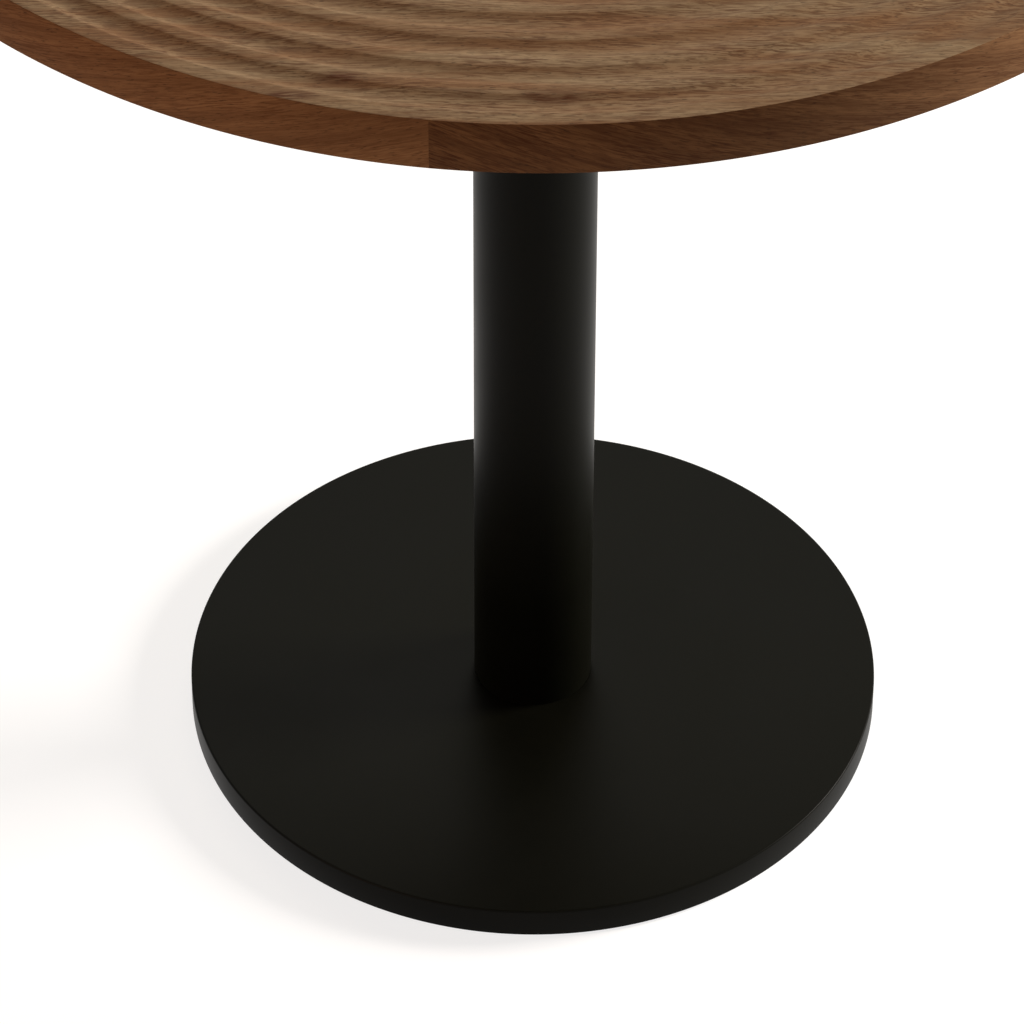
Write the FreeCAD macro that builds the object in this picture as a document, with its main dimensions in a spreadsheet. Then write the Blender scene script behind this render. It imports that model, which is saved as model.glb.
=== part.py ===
"""Round pedestal dining table: a ring-grooved wooden top on a steel column and a weighted disc base.

Millimetres, +Z up. The origin is on the floor under the column's axis, and -Y is the front.
The column stands between the base and the top plate, and one long tie rod clamps them together.
"""

import FreeCAD, Part
import math
import os
import re

import Sketcher

# Driving dimensions: alias, value in millimetres (degrees for the azimuth, plain counts), meaning.
SIZES = [
    ("overall_height", 770, "floor to the top face"),
    ("top_diameter", 800, "wooden top, over the edge band"),
    ("top_thickness", 30, "face panel, core and backing together"),
    ("face_thickness", 6, "solid wood face panel"),
    ("backing_thickness", 1.5, "balancing veneer under the core"),
    ("band_thickness", 1.5, "wooden strip bent round the rim"),
    ("band_joint_gap", 0.2, "between the two ends of the strip"),
    ("band_joint_azimuth", -97.6, "where the ends of the strip meet, from +X"),
    ("bond_gap", 0.3, "glue line of a curved joint"),
    ("rim_land", 9, "flat border outside the first groove"),
    ("groove_width", 14.2, "turned groove, from edge to edge"),
    ("groove_depth", 1.6, "turned groove at its middle"),
    ("land_width", 6.4, "flat ring between two grooves"),
    ("centre_disc_diameter", 50, "least plain disc left inside the rings"),
    ("column_diameter", 70, "steel tube, outside"),
    ("column_wall", 2, "steel tube"),
    ("spigot_gap", 0.3, "round the spigot and the head plug, inside the tube"),
    ("spigot_height", 14, "spigot above the base's top face"),
    ("plug_length", 26, "head plug inside the tube"),
    ("lead_in", 2, "chamfer that guides the tube on"),
    ("plate_diameter", 260, "steel plate under the top"),
    ("plate_thickness", 6, "steel plate under the top"),
    ("plate_chamfer", 1, "edge of the steel plate"),
    ("bolt_count", 6, "bolts and inserts round the plate"),
    ("bolt_inset", 22, "from the plate's edge to a bolt's axis"),
    ("bolt_diameter", 8, "bolt shank"),
    ("bolt_tip_gap", 4.6, "bolt's end below the insert's inner end"),
    ("bolt_hole_gap", 0.5, "round the shank in the plate"),
    ("bolt_head_diameter", 14, "domed head"),
    ("bolt_head_height", 4.4, "domed head"),
    ("bolt_crown_margin", 1.1, "head's flat end beyond the socket's corners"),
    ("bolt_key_width", 5, "hexagon socket, across its flats"),
    ("bolt_key_depth", 2.6, "hexagon socket"),
    ("bolt_washer_diameter", 18, "plain washer under the head"),
    ("bolt_washer_thickness", 1.6, "plain washer under the head"),
    ("insert_diameter", 12, "threaded insert, outside"),
    ("insert_cover", 6, "core left above an insert's hole"),
    ("insert_inset", 0.5, "insert's mouth above the underside"),
    ("insert_hole_end", 1, "blind hole beyond the insert"),
    ("thread_gap", 0.1, "round a thread, modelled plain"),
    ("rod_diameter", 12, "tie rod"),
    ("rod_end_gap", 2, "rod's upper end below the plate"),
    ("rod_end_chamfer", 1, "both ends of the rod"),
    ("rod_protrusion", 1.5, "rod below its nut"),
    ("nut_width", 18, "hexagon nut, across its flats"),
    ("nut_height", 10, "hexagon nut"),
    ("rod_washer_diameter", 30, "plain washer above the nut"),
    ("rod_washer_thickness", 2.5, "plain washer above the nut"),
    ("spring_washer_diameter", 21, "split washer, outside"),
    ("spring_washer_thickness", 2.5, "split washer"),
    ("spring_washer_split", 20, "angle left open in the split washer"),
    ("recess_gap", 4, "round the washer in the nut's recess, for the spanner"),
    ("rod_recess", 0.5, "rod's end above the ballast's underside"),
    ("base_diameter", 410, "base cover"),
    ("base_height", 19, "base cover, from its lower edge"),
    ("cover_sheet", 2, "steel sheet of the cover"),
    ("cover_edge", 1.2, "outside radius of the cover's upper edge"),
    ("floor_gap", 2, "cover's lower edge above the floor"),
    ("ballast_gap", 0.8, "round the ballast inside the cover"),
    ("ballast_edge", 1.5, "ballast's chamfer, clear of the cover's inside weld"),
    ("glide_inset", 42, "from the base's edge to a glide's axis"),
    ("pad_diameter", 32, "nylon foot of a glide"),
    ("pad_edge", 1, "radius round the foot's sole"),
    ("pad_sole", 1.4, "foot under the stem's head"),
    ("pad_lip", 1.2, "foot over the stem's head"),
    ("pad_stop_gap", 0.2, "foot below the ballast when it is wound right in"),
    ("pad_key_gap", 0.7, "round the key's corners in the sole"),
    ("stem_diameter", 8, "screwed stem of a glide"),
    ("stem_gap", 0.2, "round the stem in the ballast"),
    ("stem_head_diameter", 15, "flat head held in the foot"),
    ("stem_head_thickness", 1.8, "flat head held in the foot"),
    ("stem_head_gap", 0.2, "round the head in the foot"),
    ("stem_top_gap", 0.5, "stem's end below the cover"),
    ("stem_key_width", 4, "hexagon socket, across its flats"),
    ("stem_key_depth", 5, "hexagon socket"),
    ("cut_margin", 1, "how far a through cut runs past its faces"),
]
ALIASES = {alias for alias, _, _ in SIZES}

# Levels and radii that several pieces share, written in the sheet's own names.
TOP_RADIUS = "(top_diameter / 2)"
PANEL_RADIUS = f"({TOP_RADIUS} - band_thickness - bond_gap)"
OPEN_ANGLE = f"(band_joint_gap / {TOP_RADIUS} * 180 / pi)"
GROOVE_PITCH = "(groove_width + land_width)"
GROOVE_RADIUS = "((groove_width ^ 2 / 4 + groove_depth ^ 2) / (2 * groove_depth))"
UNDERSIDE = "(overall_height - top_thickness)"
CORE_UNDER = f"({UNDERSIDE} + backing_thickness)"
CORE_TOP = "(overall_height - face_thickness)"
PLATE_UNDER = f"({UNDERSIDE} - plate_thickness)"
BOLT_CIRCLE = "(plate_diameter / 2 - bolt_inset)"
BOLT_SEAT = f"({PLATE_UNDER} - bolt_washer_thickness)"
INSERT_MOUTH = f"({UNDERSIDE} + insert_inset)"
INSERT_HOLE_END = f"({CORE_TOP} - insert_cover)"
INSERT_END = f"({INSERT_HOLE_END} - insert_hole_end)"
INSERT_HOLE = "(insert_diameter / 2 + bond_gap)"
BORE_RADIUS = "(column_diameter / 2 - column_wall)"
SPIGOT_RADIUS = f"({BORE_RADIUS} - spigot_gap)"
ROD_HOLE = "(rod_diameter / 2 + thread_gap)"
COVER_TOP = "(floor_gap + base_height)"
BALLAST_TOP = f"({COVER_TOP} - cover_sheet)"
STEM_HEAD_UNDER = "(pad_sole + stem_head_gap)"
STEM_HEAD_TOP = f"({STEM_HEAD_UNDER} + stem_head_thickness)"
PAD_POCKET_TOP = f"({STEM_HEAD_TOP} + stem_head_gap)"
PAD_TOP = f"({PAD_POCKET_TOP} + pad_lip)"
BALLAST_UNDER = f"({PAD_TOP} + pad_stop_gap)"
ROD_BOTTOM = f"({BALLAST_UNDER} + rod_recess)"
NUT_UNDER = f"({ROD_BOTTOM} + rod_protrusion)"
NUT_TOP = f"({NUT_UNDER} + nut_height)"
WASHER_UNDER = f"({NUT_TOP} + spring_washer_thickness)"
SEAT_TOP = f"({WASHER_UNDER} + rod_washer_thickness)"
GLIDE_CIRCLE = "(base_diameter / 2 - glide_inset)"

# Where the glides stand: the side of the base, and its direction from the axis.
GLIDES = {"right": (1, 0), "back": (0, 1), "left": (-1, 0), "front": (0, -1)}

FULL_TURN = 360
HEXAGON_SIDES = 6

doc = FreeCAD.newDocument("PedestalTable")
sheet = doc.addObject("Spreadsheet::Sheet", "Size")
for row, (alias, number, meaning) in enumerate(SIZES, start=1):
    sheet.set(f"A{row}", meaning)
    sheet.set(f"B{row}", str(number))
    sheet.setAlias(f"B{row}", alias)
doc.recompute()


def bound(formula):
    """The formula as an expression of the sheet: each alias in it gets the sheet's name."""
    return re.sub(r"[a-z_]+", lambda m: f"Size.{m[0]}" if m[0] in ALIASES else m[0], formula)


def value(formula):
    """The formula's number, in millimetres or degrees."""
    return float(sheet.evalExpression(bound(formula)))


def new_body(label):
    """An empty body whose label names the piece."""
    body = doc.addObject("PartDesign::Body", label)
    body.Label = label
    return body


def origin_feature(body, role):
    """One of the body's own planes or axes."""
    return next(o for o in body.Origin.OriginFeatures if o.Role == role)


def new_sketch(body, name, plane, offsets):
    """A sketch on one of the body's planes, moved along that plane's axes by formulas."""
    sketch = body.newObject("Sketcher::SketchObject", name)
    sketch.AttachmentSupport = [(origin_feature(body, plane), "")]
    sketch.MapMode = "FlatFace"
    for axis, formula in offsets.items():
        sketch.setExpression(f"AttachmentOffset.Base.{axis}", bound(formula))
    return sketch


def outline_side(start, end, arc):
    """A straight side, or the arc (radius, +1 or -1 for its centre to the left or right).

    Returns the curve and which of its two ends are the start and the end.
    """
    first = FreeCAD.Vector(*start, 0)
    last = FreeCAD.Vector(*end, 0)
    if arc is None:
        return Part.LineSegment(first, last), (1, 2)
    radius, side = arc
    chord = last - first
    left = FreeCAD.Vector(-chord.y, chord.x, 0).normalize()
    centre = (first + last) / 2 + left * side * math.sqrt(radius ** 2 - chord.Length ** 2 / 4)
    angles = [math.atan2(p.y - centre.y, p.x - centre.x) for p in (first, last)]
    circle = Part.Circle(centre, FreeCAD.Vector(0, 0, 1), radius)
    if side > 0:
        return Part.ArcOfCircle(circle, angles[0], angles[1]), (1, 2)
    return Part.ArcOfCircle(circle, angles[1], angles[0]), (2, 1)


def draw_outline(sketch, corners, arcs):
    """Draws a closed outline of (radius, height) formulas and binds each corner and arc to them."""
    places = [(value(radius), value(height)) for radius, height in corners]
    count = len(corners)
    ends = []
    for side, start in enumerate(places):
        bend, hand = arcs.get(side, (None, 0))
        arc = None if bend is None else (value(bend), hand)
        curve, order = outline_side(start, places[(side + 1) % count], arc)
        sketch.addGeometry(curve, False)
        ends.append(order)
    for side in range(count):
        following = (side + 1) % count
        joint = (side, ends[side][1], following, ends[following][0])
        sketch.addConstraint(Sketcher.Constraint("Coincident", *joint))
    for side, formulas in enumerate(corners):
        corner = (side, ends[side][0])
        for kind, formula, number in zip(("DistanceX", "DistanceY"), formulas, places[side]):
            if formula == "0":
                axis = -2 if kind == "DistanceX" else -1
                sketch.addConstraint(Sketcher.Constraint("PointOnObject", *corner, axis))
                continue
            index = sketch.addConstraint(Sketcher.Constraint(kind, -1, 1, *corner, number))
            sketch.setExpression(f"Constraints[{index}]", bound(formula))
    for side, (bend, _) in arcs.items():
        index = sketch.addConstraint(Sketcher.Constraint("Radius", side, value(bend)))
        sketch.setExpression(f"Constraints[{index}]", bound(bend))


def turned(body, name, corners, arcs=None, at=None, cut=False, angle=str(FULL_TURN)):
    """Turns an outline of (radius, height) corners about an upright axis, to add or to cut.

    at moves that axis out along X, and an angle under a full turn leaves the ring split.
    """
    sketch = new_sketch(body, f"{name}_outline", "XZ_Plane", {"x": at} if at else {})
    draw_outline(sketch, corners, arcs or {})
    feature = body.newObject("PartDesign::Groove" if cut else "PartDesign::Revolution", name)
    feature.Profile = sketch
    feature.ReferenceAxis = (sketch, ["V_Axis"])
    feature.setExpression("Angle", bound(angle))
    doc.recompute()
    return feature


def hexagon(body, name, width, level, length, at=None, cut=False):
    """A hexagon prism of that width across its flats, standing up from level, to add or to cut."""
    offsets = {"z": level, "x": at} if at else {"z": level}
    sketch = new_sketch(body, f"{name}_outline", "XY_Plane", offsets)
    reach = f"({width} / sqrt(3))"
    radius = value(reach)
    turns = [2 * math.pi * side / HEXAGON_SIDES for side in range(HEXAGON_SIDES)]
    points = [FreeCAD.Vector(radius * math.cos(a), radius * math.sin(a), 0) for a in turns]
    for side in range(HEXAGON_SIDES):
        line = Part.LineSegment(points[side], points[(side + 1) % HEXAGON_SIDES])
        sketch.addGeometry(line, False)
    middle = FreeCAD.Vector(0, 0, 0)
    ring = sketch.addGeometry(Part.Circle(middle, FreeCAD.Vector(0, 0, 1), radius), True)
    for side in range(HEXAGON_SIDES):
        sketch.addConstraint(
            Sketcher.Constraint("Coincident", side, 2, (side + 1) % HEXAGON_SIDES, 1)
        )
        sketch.addConstraint(Sketcher.Constraint("PointOnObject", side, 1, ring))
        if side:
            sketch.addConstraint(Sketcher.Constraint("Equal", 0, side))
    sketch.addConstraint(Sketcher.Constraint("Coincident", ring, 3, -1, 1))
    sketch.addConstraint(Sketcher.Constraint("PointOnObject", 0, 1, -1))
    index = sketch.addConstraint(Sketcher.Constraint("Radius", ring, radius))
    sketch.setExpression(f"Constraints[{index}]", bound(reach))
    feature = body.newObject("PartDesign::Pocket" if cut else "PartDesign::Pad", name)
    feature.Profile = sketch
    feature.Reversed = cut
    feature.setExpression("Length", bound(length))
    doc.recompute()
    return feature


def ring_of(body, name, features, count):
    """Repeats features evenly round the body's upright axis."""
    pattern = body.newObject("PartDesign::PolarPattern", name)
    pattern.Originals = features
    pattern.Axis = (origin_feature(body, "Z_Axis"), [""])
    pattern.Angle = FULL_TURN
    pattern.setExpression("Occurrences", bound(count))
    body.Tip = pattern
    doc.recompute()


def ring(inner, outer, bottom, top):
    """The four corners of a plain ring's outline."""
    return [(inner, bottom), (outer, bottom), (outer, top), (inner, top)]


def disc(radius, bottom, top):
    """The four corners of a plain disc's outline."""
    return ring("0", radius, bottom, top)


# The wooden top


def groove_count():
    """How many grooves fit between the rim's border and the plain disc in the middle."""
    room = value(f"{TOP_RADIUS} - rim_land - centre_disc_diameter / 2 + land_width")
    return int(room // value(GROOVE_PITCH))


def make_face_panel():
    """Solid wood face with concentric round-bottomed grooves, turned from one outline."""
    corners = [("0", CORE_TOP), (PANEL_RADIUS, CORE_TOP), (PANEL_RADIUS, "overall_height")]
    arcs = {}
    for groove in range(groove_count()):
        outer = f"({TOP_RADIUS} - rim_land - {groove} * {GROOVE_PITCH})"
        arcs[len(corners)] = (GROOVE_RADIUS, -1)
        corners.append((outer, "overall_height"))
        corners.append((f"({outer} - groove_width)", "overall_height"))
    corners.append(("0", "overall_height"))
    body = new_body("face_panel")
    turned(body, "grooved_disc", corners, arcs)


def make_core_board():
    """Plywood core with blind holes for the inserts."""
    body = new_body("core_board")
    turned(body, "core_disc", disc(PANEL_RADIUS, CORE_UNDER, CORE_TOP))
    hole = disc(INSERT_HOLE, f"{CORE_UNDER} - cut_margin", INSERT_HOLE_END)
    drilled = turned(body, "insert_hole", hole, at=BOLT_CIRCLE, cut=True)
    ring_of(body, "insert_holes", [drilled], "bolt_count")


def make_backing_veneer():
    """Balancing veneer on the underside, holed for the inserts."""
    body = new_body("backing_veneer")
    turned(body, "veneer_disc", disc(PANEL_RADIUS, UNDERSIDE, CORE_UNDER))
    hole = disc(INSERT_HOLE, f"{UNDERSIDE} - cut_margin", f"{CORE_UNDER} + cut_margin")
    drilled = turned(body, "insert_hole", hole, at=BOLT_CIRCLE, cut=True)
    ring_of(body, "insert_holes", [drilled], "bolt_count")


def make_edge_band():
    """One strip bent round the rim, its two ends butted at the joint."""
    body = new_body("edge_band")
    strip = ring(f"({TOP_RADIUS} - band_thickness)", TOP_RADIUS, UNDERSIDE, "overall_height")
    turned(body, "bent_strip", strip, angle=f"{FULL_TURN} - {OPEN_ANGLE}")
    body.setExpression("Placement.Rotation.Angle", bound("band_joint_azimuth"))


def make_threaded_inserts():
    """Steel inserts glued into the core, one for each plate bolt."""
    body = new_body("threaded_inserts")
    bore = "(bolt_diameter / 2 + thread_gap)"
    sleeve = ring(bore, "insert_diameter / 2", INSERT_MOUTH, INSERT_END)
    insert = turned(body, "insert", sleeve, at=BOLT_CIRCLE)
    ring_of(body, "inserts", [insert], "bolt_count")


# The head of the column


def make_top_plate():
    """Round steel plate that carries the top, with clearance holes for its bolts."""
    edge = "(plate_diameter / 2)"
    corners = [
        ("0", PLATE_UNDER),
        (f"({edge} - plate_chamfer)", PLATE_UNDER),
        (edge, f"({PLATE_UNDER} + plate_chamfer)"),
        (edge, UNDERSIDE),
        ("0", UNDERSIDE),
    ]
    body = new_body("top_plate")
    turned(body, "plate_disc", corners)
    hole_radius = "(bolt_diameter / 2 + bolt_hole_gap)"
    hole = disc(hole_radius, f"{PLATE_UNDER} - cut_margin", f"{UNDERSIDE} + cut_margin")
    drilled = turned(body, "bolt_hole", hole, at=BOLT_CIRCLE, cut=True)
    ring_of(body, "bolt_holes", [drilled], "bolt_count")


def make_column_head_plug():
    """Turned plug under the plate that centres the tube and takes the tie rod's thread."""
    lower_end = f"({PLATE_UNDER} - plug_length)"
    corners = [
        (ROD_HOLE, lower_end),
        (f"({SPIGOT_RADIUS} - lead_in)", lower_end),
        (SPIGOT_RADIUS, f"({lower_end} + lead_in)"),
        (SPIGOT_RADIUS, PLATE_UNDER),
        (ROD_HOLE, PLATE_UNDER),
    ]
    turned(new_body("column_head_plug"), "plug", corners)


def make_plate_bolts():
    """Domed socket bolts, driven from below through the plate into the inserts."""
    head_under = f"({BOLT_SEAT} - bolt_head_height)"
    tip = f"({INSERT_END} - bolt_tip_gap)"
    crown = "(bolt_key_width / sqrt(3) + bolt_crown_margin)"
    corners = [
        ("0", head_under),
        (crown, head_under),
        ("bolt_head_diameter / 2", BOLT_SEAT),
        ("bolt_diameter / 2", BOLT_SEAT),
        ("bolt_diameter / 2", tip),
        ("0", tip),
    ]
    body = new_body("plate_bolts")
    bolt = turned(body, "bolt", corners, {1: ("bolt_head_diameter / 2", 1)}, at=BOLT_CIRCLE)
    key = ("bolt_key_width", head_under, "bolt_key_depth")
    socket = hexagon(body, "key_socket", *key, at=BOLT_CIRCLE, cut=True)
    ring_of(body, "bolts", [bolt, socket], "bolt_count")


def make_plate_washers():
    """Plain washers under the bolt heads."""
    body = new_body("plate_washers")
    hole_radius = "(bolt_diameter / 2 + bolt_hole_gap)"
    outline = ring(hole_radius, "bolt_washer_diameter / 2", BOLT_SEAT, PLATE_UNDER)
    washer = turned(body, "washer", outline, at=BOLT_CIRCLE)
    ring_of(body, "washers", [washer], "bolt_count")


# The column and its tie rod


def make_column_tube():
    """Plain steel tube from the base's top face to the plate."""
    wall = ring(BORE_RADIUS, "column_diameter / 2", COVER_TOP, PLATE_UNDER)
    turned(new_body("column_tube"), "tube", wall)


def make_tie_rod():
    """Long screwed rod that clamps the base, the tube and the head plug together."""
    radius = "(rod_diameter / 2)"
    top = f"({PLATE_UNDER} - rod_end_gap)"
    corners = [
        ("0", ROD_BOTTOM),
        (f"({radius} - rod_end_chamfer)", ROD_BOTTOM),
        (radius, f"({ROD_BOTTOM} + rod_end_chamfer)"),
        (radius, f"({top} - rod_end_chamfer)"),
        (f"({radius} - rod_end_chamfer)", top),
        ("0", top),
    ]
    turned(new_body("tie_rod"), "rod", corners)


def make_tie_rod_washer():
    """Plain washer against the counterbore's seat."""
    outline = ring(ROD_HOLE, "rod_washer_diameter / 2", WASHER_UNDER, SEAT_TOP)
    turned(new_body("tie_rod_washer"), "washer", outline)


def make_tie_rod_spring_washer():
    """Split washer that keeps the nut tight."""
    outline = ring(ROD_HOLE, "spring_washer_diameter / 2", NUT_TOP, WASHER_UNDER)
    body = new_body("tie_rod_spring_washer")
    turned(body, "split_ring", outline, angle=f"{FULL_TURN} - spring_washer_split")


def make_tie_rod_nut():
    """Hexagon nut on the rod's lower end."""
    body = new_body("tie_rod_nut")
    hexagon(body, "nut", "nut_width", NUT_UNDER, "nut_height")
    bore = disc(ROD_HOLE, f"{NUT_UNDER} - cut_margin", f"{NUT_TOP} + cut_margin")
    turned(body, "bore", bore, cut=True)


# The base


def make_base_cover():
    """Steel disc on a rolled rim, welded and ground round its edge, with a hole for the spigot."""
    outer = "(base_diameter / 2)"
    inner = f"({outer} - cover_sheet)"
    hole = f"({SPIGOT_RADIUS} + spigot_gap)"
    corners = [
        (inner, "floor_gap"),
        (outer, "floor_gap"),
        (outer, f"({COVER_TOP} - cover_edge)"),
        (f"({outer} - cover_edge)", COVER_TOP),
        (hole, COVER_TOP),
        (hole, BALLAST_TOP),
        (inner, BALLAST_TOP),
    ]
    turned(new_body("base_cover"), "tray", corners, {2: ("cover_edge", 1)})


def make_ballast_disc():
    """Cast iron weight inside the cover, with the spigot that centres the tube.

    The nut's recess is in the middle of its underside and a screwed hole takes each glide.
    """
    edge = "(base_diameter / 2 - cover_sheet - ballast_gap)"
    inset = f"({edge} - ballast_edge)"
    recess = "(rod_washer_diameter / 2 + recess_gap)"
    spigot_top = f"({COVER_TOP} + spigot_height)"
    corners = [
        (ROD_HOLE, SEAT_TOP),
        (recess, SEAT_TOP),
        (recess, BALLAST_UNDER),
        (inset, BALLAST_UNDER),
        (edge, f"({BALLAST_UNDER} + ballast_edge)"),
        (edge, f"({BALLAST_TOP} - ballast_edge)"),
        (inset, BALLAST_TOP),
        (SPIGOT_RADIUS, BALLAST_TOP),
        (SPIGOT_RADIUS, f"({spigot_top} - lead_in)"),
        (f"({SPIGOT_RADIUS} - lead_in)", spigot_top),
        (ROD_HOLE, spigot_top),
    ]
    body = new_body("ballast_disc")
    turned(body, "casting", corners)
    hole_radius = "(stem_diameter / 2 + stem_gap)"
    hole = disc(hole_radius, f"{BALLAST_UNDER} - cut_margin", f"{BALLAST_TOP} + cut_margin")
    tapped = turned(body, "glide_hole", hole, at=GLIDE_CIRCLE, cut=True)
    ring_of(body, "glide_holes", [tapped], str(len(GLIDES)))


# The levelling glides


def place_glide(body, direction):
    """Puts a glide piece, made on the middle axis, at its place under the base."""
    for axis, share in zip("xy", direction):
        body.setExpression(f"Placement.Base.{axis}", bound(f"{share} * {GLIDE_CIRCLE}"))


def make_glide_pad(side, direction):
    """Nylon foot, moulded round the stem's flat head so that the stem can turn in it."""
    edge = "(pad_diameter / 2)"
    neck = "(stem_diameter / 2 + stem_head_gap)"
    pocket = "(stem_head_diameter / 2 + stem_head_gap)"
    key_hole = "(stem_key_width / sqrt(3) + pad_key_gap)"
    corners = [
        (key_hole, "0"),
        (f"({edge} - pad_edge)", "0"),
        (edge, "pad_edge"),
        (edge, PAD_TOP),
        (neck, PAD_TOP),
        (neck, PAD_POCKET_TOP),
        (pocket, PAD_POCKET_TOP),
        (pocket, "pad_sole"),
        (key_hole, "pad_sole"),
    ]
    body = new_body(f"glide_pad_{side}")
    turned(body, "foot", corners, {1: ("pad_edge", 1)})
    place_glide(body, direction)


def make_glide_stem(side, direction):
    """Screwed stem with a flat head below and a hexagon socket that the key reaches."""
    shank = "(stem_diameter / 2)"
    top = f"({BALLAST_TOP} - stem_top_gap)"
    corners = [
        ("0", STEM_HEAD_UNDER),
        ("stem_head_diameter / 2", STEM_HEAD_UNDER),
        ("stem_head_diameter / 2", STEM_HEAD_TOP),
        (shank, STEM_HEAD_TOP),
        (shank, top),
        ("0", top),
    ]
    body = new_body(f"glide_stem_{side}")
    turned(body, "stem", corners)
    hexagon(body, "key_socket", "stem_key_width", STEM_HEAD_UNDER, "stem_key_depth", cut=True)
    place_glide(body, direction)


def check_document(bodies):
    """Stops if a feature failed, a sketch is loose or a piece is empty or invalid."""
    for item in doc.Objects:
        if {"Invalid", "Error"} & set(item.State):
            raise RuntimeError(f"{item.Label} failed: {item.State}")
        if item.TypeId == "Sketcher::SketchObject" and not item.FullyConstrained:
            raise RuntimeError(f"{item.Label} isn't fully constrained")
    for body in bodies:
        if body.Shape.isNull() or not body.Shape.isValid() or not body.Shape.Solids:
            raise RuntimeError(f"{body.Label} has no valid solid")


def main():
    make_face_panel()
    make_core_board()
    make_backing_veneer()
    make_edge_band()
    make_threaded_inserts()
    make_top_plate()
    make_column_head_plug()
    make_plate_bolts()
    make_plate_washers()
    make_column_tube()
    make_tie_rod()
    make_tie_rod_washer()
    make_tie_rod_spring_washer()
    make_tie_rod_nut()
    make_base_cover()
    make_ballast_disc()
    for side, direction in GLIDES.items():
        make_glide_pad(side, direction)
        make_glide_stem(side, direction)
    doc.recompute()
    bodies = [item for item in doc.Objects if item.TypeId == "PartDesign::Body"]
    check_document(bodies)
    os.makedirs("parts", exist_ok=True)
    for body in bodies:
        body.Shape.exportStep(os.path.join("parts", f"{body.Label}.step"))
        box = body.Shape.optimalBoundingBox()
        size = " x ".join(f"{length:.1f}" for length in (box.XLength, box.YLength, box.ZLength))
        print(f"{body.Label}: {len(body.Shape.Solids)} solids, {size}, {body.Shape.Volume:.0f} mm3")
    print(f"{groove_count()} grooves, {value(GROOVE_RADIUS):.2f} mm cutter radius")


main()
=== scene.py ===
"""Looks of a round pedestal dining table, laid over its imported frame.

Lengths are metres in the frame's own axes: +Z up, -Y to the front, origin on the floor under the column.
Every new piece is a surface worked out on a grid, most of them a profile turned about an upright axis.
"""

import math

import bmesh
import bpy
import numpy as np
from bpy.props import FloatProperty, FloatVectorProperty, IntProperty, PointerProperty
from mathutils import Matrix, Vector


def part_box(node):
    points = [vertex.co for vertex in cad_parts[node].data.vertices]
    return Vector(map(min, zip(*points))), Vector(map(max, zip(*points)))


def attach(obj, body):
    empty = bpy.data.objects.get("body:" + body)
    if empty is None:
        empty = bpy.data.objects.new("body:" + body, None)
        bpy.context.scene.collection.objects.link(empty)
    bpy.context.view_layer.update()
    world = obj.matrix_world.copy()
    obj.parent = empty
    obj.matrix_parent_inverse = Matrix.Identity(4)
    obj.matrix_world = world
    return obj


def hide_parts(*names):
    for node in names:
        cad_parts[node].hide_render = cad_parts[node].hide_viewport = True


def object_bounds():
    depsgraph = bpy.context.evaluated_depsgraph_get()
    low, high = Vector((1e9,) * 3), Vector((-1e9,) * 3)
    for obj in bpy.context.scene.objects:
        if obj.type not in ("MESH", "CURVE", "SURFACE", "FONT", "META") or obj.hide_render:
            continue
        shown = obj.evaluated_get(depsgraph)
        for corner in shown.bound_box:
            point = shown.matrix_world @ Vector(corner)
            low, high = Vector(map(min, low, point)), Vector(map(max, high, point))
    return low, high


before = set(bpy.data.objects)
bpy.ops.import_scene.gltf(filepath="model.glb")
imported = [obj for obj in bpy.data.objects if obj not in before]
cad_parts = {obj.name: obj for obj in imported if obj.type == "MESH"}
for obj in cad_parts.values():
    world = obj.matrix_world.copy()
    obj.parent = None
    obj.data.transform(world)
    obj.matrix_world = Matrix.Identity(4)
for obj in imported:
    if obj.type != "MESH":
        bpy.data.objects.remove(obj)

bl_info = {
    "name": "Pedestal Table Looks",
    "version": (1, 0, 0),
    "blender": (4, 5, 0),
    "location": "View3D > Sidebar > Table",
    "description": "Builds the wood, coated steel and fittings of a round pedestal table",
    "category": "Add Mesh",
}

MM = 0.001
TURN = 2 * math.pi
CAD_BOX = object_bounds()
GLIDE_SIDES = ("right", "back", "left", "front")
FIXED_BODY = "table"

# Points closer than this are one point
SAME_POINT = 0.001 * MM
# Depth of a screw thread as a share of its pitch, and the rows of points drawn along one pitch
THREAD_DEPTH = 0.6
THREAD_ROWS = 6
# Corners of a regular hexagon lie this many times its width across flats from its middle
CORNER_REACH = 1 / math.sqrt(3)
WHITE = "#ffffff"


def linear(code):
    """The linear colour of an sRGB hex code such as #694625."""
    channels = np.array([int(code[i:i + 2], 16) for i in (1, 3, 5)]) / 255
    toe = channels / 12.92
    curve = ((channels + 0.055) / 1.055) ** 2.4
    return tuple(np.where(channels <= 0.04045, toe, curve).tolist())


def shade(tone, times):
    """A linear colour made lighter or darker by a factor."""
    return tuple(np.array(tone) * times)


def outer_radius(node):
    """Outside radius of a node that is turned about the middle axis."""
    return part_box(node)[1].x


def levels(node):
    """Lowest and highest level of a node."""
    low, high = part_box(node)
    return low.z, high.z


# Sizes and colours that a user would change


def length(name, millimetres, words):
    """A length property, its default given in millimetres."""
    return FloatProperty(
        name=name, description=words, default=millimetres * MM, min=0, unit="LENGTH", precision=5,
    )


def colour(name, code, words):
    """A colour property, its default given as an sRGB hex code."""
    return FloatVectorProperty(
        name=name, description=words, default=linear(code), min=0, max=1, size=3, subtype="COLOR",
    )


def power(name, watts, words):
    """The power of a lamp."""
    return FloatProperty(name=name, description=words, default=watts, min=0, unit="POWER")


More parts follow.
